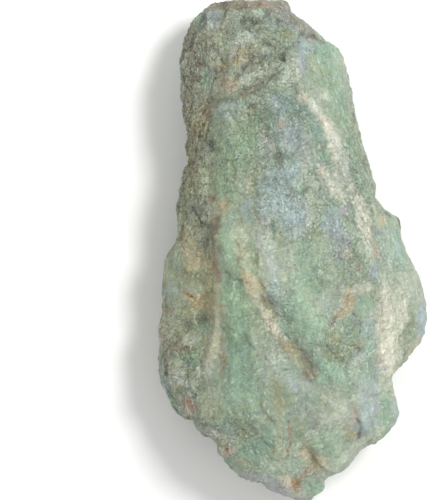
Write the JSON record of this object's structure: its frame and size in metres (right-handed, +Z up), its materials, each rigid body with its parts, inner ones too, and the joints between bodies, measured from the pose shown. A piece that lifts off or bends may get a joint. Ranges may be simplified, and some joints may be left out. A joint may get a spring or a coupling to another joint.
{
  "type": "rough zoisite stone",
  "caption": "Palm-sized rough lump of green zoisite rock with a narrow weathered head, ridges, grooves and a level back that it rests on.",
  "frame": {"origin": "under the middle of the stone's box, on the surface it rests on", "axes": "+Y along the length to the narrow head, +X to the right flank, +Z up through the worn front face"},
  "size_m": [0.0636, 0.1198, 0.0357],
  "materials": {
    "zoisite": "rough, waxy where fresh and chalky where weathered, mottled green, blue-grey, cream and tan"
  },
  "bodies": {
    "root": {"rough_stone": "zoisite"}
  },
  "joints": []
}
